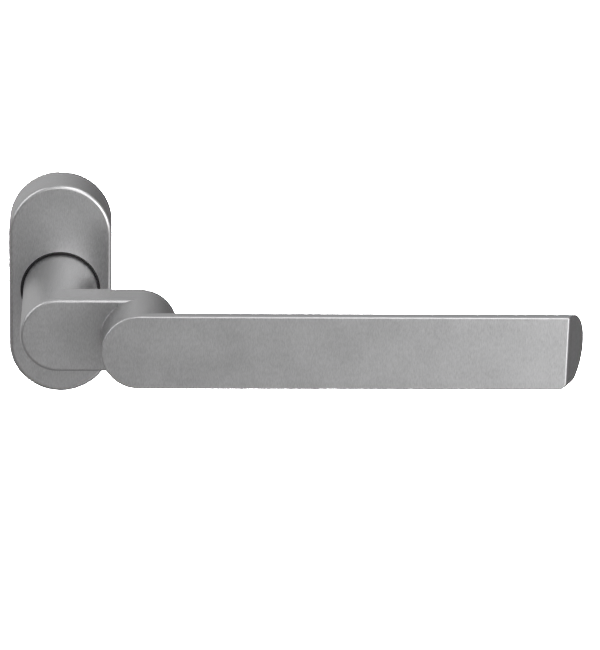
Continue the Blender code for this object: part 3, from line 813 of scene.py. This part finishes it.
base = oval_block("cast_base", ROSE_STRAIGHT, plate_high.x, PLATE_FRONT, 0.0)
join(base, oval_block("housing", HOUSING_STRAIGHT, HOUSING_RADIUS, HOUSING_FRONT, INSIDE_PLATE))


def on_cast_edge(edge):
    """True on the outer edges. The plate's inner corner round the housing stays as it is."""
    front = is_level(edge, PLATE_FRONT) or is_level(edge, HOUSING_FRONT)
    return front and edge.is_convex and sharp(edge)


edit(base)
bpy.ops.mesh.normals_make_consistent(inside=False)
pick("edges", on_cast_edge)
bevel(CAST_ROUND, 3)
done()
for side in (1, -1):
    lug_place, peg_place = (0.0, side * SCREW_Z), (0.0, side * PEG_Z)
    lug = bar("lug", LUG_RADIUS, INSIDE_PLATE, plate_high.y, centre=lug_place, corners=64)
    peg = bar("peg", PEG_RADIUS, PEG_FRONT, INSIDE_PLATE, centre=peg_place, corners=32)
    join(base, lug, peg)
print("cast base:", len(base.data.polygons), "faces")


# %% Bore the housing for the ring, the disc and the stem
WEB_FRONT = -8.5 * MM
WEB_BACK = -7.0 * MM
POCKET_RADIUS = 9.2 * MM
STEM_BORE = 6.6 * MM
cut(
    base,
    bar("ring_seat", SEAT_RADIUS, HOUSING_FRONT - 1 * MM, WEB_FRONT),
    bar("disc_pocket", POCKET_RADIUS, WEB_BACK, BEHIND),
    bar("stem_bore", STEM_BORE, WEB_FRONT - 0.5 * MM, WEB_BACK + 1 * MM),
)
print("the web between ring and disc is", round((WEB_BACK - WEB_FRONT) / MM, 2), "mm thick")

# %% Bore the screw holes and the plungers' bores, and mark the ejector pins
HOLE_RADIUS = 2.7 * MM
SINK_RADIUS = 5.9 * MM
SINK_DEPTH = 3.2 * MM
SINK_MIDDLE = PLATE_FRONT + 0.6 * MM
PLUNGER_BORE = 1.6 * MM
PLUNGER_ENDS = (9.0 * MM, 14.85 * MM)
PLUNGER_Y = -4.9 * MM
PIN_RADIUS = 1.4 * MM
PIN_DEPTH = 0.12 * MM
PIN_X = 9.5 * MM
PIN_Z = 14.0 * MM


def countersink(side):
    """A cone for the screw's head, open to the front."""
    bpy.ops.mesh.primitive_cone_add(
        vertices=64, radius1=SINK_RADIUS, radius2=HOLE_RADIUS, depth=SINK_DEPTH,
        location=(0.0, SINK_MIDDLE, side * SCREW_Z), rotation=(-math.pi / 2, 0.0, 0.0),
    )
    return settle(bpy.context.object)


def pin_mark(x, z):
    """The shallow round print of an ejector pin in the plate's back."""
    return bar("pin_mark", PIN_RADIUS, -PIN_DEPTH, BEHIND, centre=(x, z), corners=32)


for side in (1, -1):
    ends = sorted(side * end for end in PLUNGER_ENDS)
    cut(
        base,
        bar("hole", HOLE_RADIUS, -6 * MM, 4 * MM, centre=(0.0, side * SCREW_Z), corners=64),
        countersink(side),
        bar("plunger_bore", PLUNGER_BORE, *ends, axis="Z", centre=(0.0, PLUNGER_Y), corners=48),
        pin_mark(PIN_X, side * PIN_Z),
        pin_mark(-PIN_X, side * PIN_Z),
    )
hand_over(base, "base_plate")

# %% [markdown]
# ## Threads
#
# A thread is a ridge wound round a core. The ridge starts as a small triangle beside the axis.
# The Screw modifier winds it up, its two open ends are filled, and a Boolean joins it to the
# core. The same helper serves the fixing screws and the grub screw.


# %% Wind a thread along Y
THREAD_PITCH = 0.8 * MM
FLANK_SHARE = 0.4
ROOT_DEPTH = 0.1 * MM


def thread(name, core, crest, front, back, centre):
    """A threaded rod along Y. The ridge runs from front to back on a bar of the core's radius."""
    flank = THREAD_PITCH * FLANK_SHARE
    turns = int((back - front - 2 * flank) / THREAD_PITCH)
    bpy.ops.mesh.primitive_circle_add(vertices=3, radius=flank, fill_type="NOTHING")
    ridge = alone(bpy.context.object)
    ridge.name = name
    root = core - ROOT_DEPTH
    corners = ((root, 0.0, -flank), (crest, 0.0, 0.0), (root, 0.0, flank))
    for vert, corner in zip(ridge.data.vertices, corners):
        vert.co = corner
    wind = ridge.modifiers.new("wind", "SCREW")
    wind.axis = "Z"
    wind.screw_offset = THREAD_PITCH
    wind.iterations = turns
    wind.steps = 24
    wind.render_steps = 24
    wind.use_merge_vertices = False
    bpy.ops.object.modifier_apply(modifier=wind.name)
    edit(ridge)
    bpy.ops.mesh.fill_holes(sides=3)
    bpy.ops.mesh.select_all(action="SELECT")
    bpy.ops.mesh.normals_make_consistent(inside=False)
    bpy.ops.transform.translate(value=(0.0, 0.0, flank))
    done()
    ridge.rotation_euler = TURN["Y"]
    ridge.scale = (1.0, 1.0, -1.0)
    ridge.location = (centre[0], front, centre[1])
    settle(ridge)
    edit(ridge)
    bpy.ops.mesh.normals_make_consistent(inside=False)
    done()
    return join(ridge, bar("core", core, front, back, centre=centre, corners=48))


print("the thread helper is ready")

# %% [markdown]
# ## Fixing screws
#
# Two countersunk machine screws with a cross recess hold the base to the sash. The head is a
# short cone, so its top is flush with the plate. One is modelled and its copy is moved down.

# %% Head, shank, thread and cross recess
SCREW_TIP = 25.5 * MM
SCREW_RADIUS = 2.4 * MM
SCREW_CORE = 2.0 * MM
THREAD_FRONT = 0.63 * MM
HEAD_RADIUS = 4.6 * MM
HEAD_RIM = 0.2 * MM
HEAD_CONE = 2.2 * MM
PLAIN_SHANK = 2.9 * MM
HEAD_BREAK = 0.1 * MM
RECESS_REACH = 2.3 * MM
RECESS_HALF = 0.45 * MM
RECESS_FLOOR = -2.7 * MM
RECESS_MOUTH = -6 * MM

screw_place = (0.0, SCREW_Z)
screw = thread("fixing_screw_top", SCREW_CORE, SCREW_RADIUS, THREAD_FRONT, SCREW_TIP, screw_place)
head = bar("head", HEAD_RADIUS, PLATE_FRONT, PLATE_FRONT + HEAD_RIM, centre=screw_place, corners=64)
edit(head)
pick("faces", lambda face: face.normal.y > 0.9)
bpy.ops.mesh.extrude_region_move(TRANSFORM_OT_translate={"value": (0.0, HEAD_CONE, 0.0)})
shrink = SCREW_RADIUS / HEAD_RADIUS
bpy.ops.transform.resize(value=(shrink, 1.0, shrink))
bpy.ops.mesh.extrude_region_move(TRANSFORM_OT_translate={"value": (0.0, PLAIN_SHANK, 0.0)})
done()
join(screw, head)
for across, up in ((RECESS_REACH, RECESS_HALF), (RECESS_HALF, RECESS_REACH)):
    lower_corner = (-across, RECESS_MOUTH, SCREW_Z - up)
    cut(screw, block("recess", lower_corner, (across, RECESS_FLOOR, SCREW_Z + up)))
print("the screw has", len(screw.data.polygons), "faces")

# %% Soften the head's rim and copy the screw
edit(screw)
bpy.ops.mesh.fill_holes(sides=4)
pick("edges", lambda edge: is_level(edge, PLATE_FRONT) and sharp(edge))
bevel(HEAD_BREAK, 2)
done()


def copy_of(piece, name, move):
    alone(piece)
    bpy.ops.object.duplicate()
    copied = bpy.context.object
    copied.name = name
    edit(copied)
    bpy.ops.transform.translate(value=move)
    done()
    return copied


lower_screw = copy_of(screw, "fixing_screw_bottom", (0.0, 0.0, -2 * SCREW_Z))
hand_over(screw, "fixing_screw_upper")
hand_over(lower_screw, "fixing_screw_lower")

# %% [markdown]
# ## Spindle and grub screw
#
# The spindle is drawn square bar with rounded long edges, and its free end is chamfered so that
# it finds its way into the gear. A grub screw in the underside of the neck holds it.

# %% Draw the spindle
spindle_low, spindle_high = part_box("spindle")
SPINDLE_CHAMFER = 0.9 * MM
SPINDLE_EDGE = 0.4 * MM
spindle_shaft_high = spindle_high - Vector((0.0, SPINDLE_CHAMFER, 0.0))
spindle = block("square_spindle", spindle_low, spindle_shaft_high)
edit(spindle)


def runs_along(edge):
    return abs(edge.verts[0].co.y - edge.verts[1].co.y) > 1 * MM


pick("edges", runs_along)
bevel(SPINDLE_EDGE, 3)
pick("faces", lambda face: face.normal.y > 0.9)
bpy.ops.mesh.extrude_region_move(TRANSFORM_OT_translate={"value": (0.0, SPINDLE_CHAMFER, 0.0)})
shrink = 1.0 - SPINDLE_CHAMFER / spindle_high.x
bpy.ops.transform.resize(value=(shrink, 1.0, shrink))
done()
hand_over(spindle, "spindle")

# %% Thread the grub screw and stand it upright
grub_low, grub_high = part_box("grub_screw")
GRUB_CORE = 2.05 * MM
KEY_RADIUS = 1.45 * MM
grub_length = grub_high.z - grub_low.z
grub = thread("hex_grub_screw", GRUB_CORE, SCREW_RADIUS, 0.0, grub_length, (0.0, 0.0))
key = bar("key", KEY_RADIUS, -1 * MM, grub_length / 2, corners=6)
cut(grub, key)
grub.rotation_euler = (math.pi / 2, 0.0, 0.0)
grub.location = (0.0, GRUB_PLACE, grub_low.z)
settle(grub)
hand_over(grub, "grub_screw")

# %% [markdown]
# ## The small parts of the detent
#
# The disc, washer, bush, ring, plungers and clips are simple turned, stamped or bent parts. The
# frame already has their shape, but with knife-sharp edges. Each is copied, its flat faces are
# made whole again, and a narrow bevel breaks its edges as tumbling does.

# %% Tumble a copy of a small part
TUMBLED_EDGE = 0.05 * MM
PLAIN_WORDS = {
    "detent_disc": "notched_disc",
    "thrust_washer": "bronze_washer",
    "rear_bush": "rear_bushing",
    "retaining_ring": "open_ring",
    "detent_plunger_upper": "plunger_top",
    "detent_plunger_lower": "plunger_bottom",
    "cover_clip_upper": "clip_top",
    "cover_clip_lower": "clip_bottom",
}


def tumbled(node, name, width):
    alone(frame["nodes"][node])
    bpy.ops.object.duplicate()
    piece = bpy.context.object
    piece.name = name
    for key_name in list(piece.keys()):
        del piece[key_name]
    piece.parent = None
    edit(piece)
    bpy.ops.mesh.remove_doubles(threshold=0.002 * MM)
    bpy.ops.mesh.select_all(action="SELECT")
    bpy.ops.mesh.dissolve_limited(angle_limit=math.radians(1.0))
    pick("edges", lambda edge: sharp(edge, math.radians(40.0)))
    bevel(width, 2)
    done()
    return piece


for node, name in PLAIN_WORDS.items():
    hand_over(tumbled(node, name, TUMBLED_EDGE), node)

# %% [markdown]
# ## Floor and light
#
# A wide pale floor runs out of sight. Satin metal shows its surroundings as soft bands, so the
# light is built from what each face looks at: a lamp overhead for the bright top edges, a fill
# in front, and narrow lamps at both sides for the rims. The lamp for the floor and the floor
# itself are kept out of the reflections, or every face that looks down would turn white. The
# low fill stands below the floor's level, so it shows in the reflections only.

# %% Floor
FLOOR_SIZE = 12.0
FLOOR_DROP = 0.25
bpy.ops.mesh.primitive_plane_add(size=FLOOR_SIZE, location=(0.0, 0.0, -FLOOR_DROP))
floor = bpy.context.object
floor.name = "floor"
paper = bpy.data.materials.new("pale floor")
paper.use_nodes = True
paper.node_tree.nodes["Principled BSDF"].inputs["Base Color"].default_value = (0.9, 0.9, 0.9, 1.0)
paper.node_tree.nodes["Principled BSDF"].inputs["Roughness"].default_value = 0.9
floor.data.materials.append(paper)
floor.visible_glossy = False


# %% Soft lamps
def soft_lamp(name, place, aim, width, height, power):
    """A rectangular lamp at a place, turned towards aim."""
    bpy.ops.object.light_add(type="AREA", location=place)
    lamp = bpy.context.object
    lamp.name = name
    lamp.rotation_mode = "QUATERNION"
    lamp.rotation_quaternion = (Vector(aim) - Vector(place)).to_track_quat("-Z", "Y")
    lamp.data.shape = "RECTANGLE"
    lamp.data.size = width
    lamp.data.size_y = height
    lamp.data.energy = power
    lamp.visible_camera = False
    return lamp


soft_lamp("overhead lamp", (0.35, -0.55, 0.85), (0.05, -0.05, 0.0), 0.7, 0.35, 3.0)
soft_lamp("front fill", (0.2, -0.95, 0.4), (0.0, 0.0, 0.0), 0.7, 0.5, 2.2)
soft_lamp("low fill", (0.65, -0.9, -0.35), (0.12, -0.05, 0.0), 0.7, 0.6, 1.7)
soft_lamp("right rim lamp", (0.75, -0.85, 0.05), (0.04, 0.0, 0.0), 0.3, 0.5, 5.0)
soft_lamp("left rim lamp", (-0.65, -0.4, 0.5), (0.0, 0.0, 0.0), 0.2, 0.9, 2.5)
floor_lamp = soft_lamp("floor lamp", (0.1, 1.0, 1.6), (0.12, 0.85, -0.25), 0.8, 0.8, 60.0)
floor_lamp.data.spread = math.radians(52.0)
floor_lamp.visible_glossy = False


# %% Sky: brighter to the right in front, darker to the lower right behind
SLANT = 1.4


def ramp(tree, value, start, end, low, high):
    """Maps a value from start..end to low..high."""
    result = spread(tree, value, low, high)
    result.node.inputs["From Min"].default_value = start
    result.node.inputs["From Max"].default_value = end
    return result


def paint_sky():
    sky = bpy.data.worlds.new("soft sky")
    sky.use_nodes = True
    tree = sky.node_tree
    coords = tree.nodes.new("ShaderNodeTexCoord")
    parts = tree.nodes.new("ShaderNodeSeparateXYZ")
    tree.links.new(coords.outputs["Generated"], parts.inputs[0])
    sideways = maths(tree, "MULTIPLY", parts.outputs["X"], SLANT)
    slanted = maths(tree, "SUBTRACT", parts.outputs["Z"], sideways)
    behind = ramp(tree, slanted, -0.5, 0.6, 0.17, 0.66)
    before = ramp(tree, parts.outputs["X"], -0.6, 0.6, 0.22, 0.50)
    depth = ramp(tree, parts.outputs["Y"], -0.4, 0.4, 0.0, 1.0)
    blend = tree.nodes.new("ShaderNodeMix")
    tree.links.new(depth, blend.inputs["Factor"])
    tree.links.new(before, blend.inputs["A"])
    tree.links.new(behind, blend.inputs["B"])
    tree.links.new(blend.outputs["Result"], tree.nodes["Background"].inputs["Color"])
    return sky


scene.world = paint_sky()
scene.view_settings.view_transform = "Standard"
print("sky:", scene.world.name)

# %% Finishes on every node of the frame, for those that still show
for node_name, node in frame["nodes"].items():
    node.data.materials.clear()
    node.data.materials.append(FINISH_OF_SLOT[SLOT_OF_NODE[node_name]])
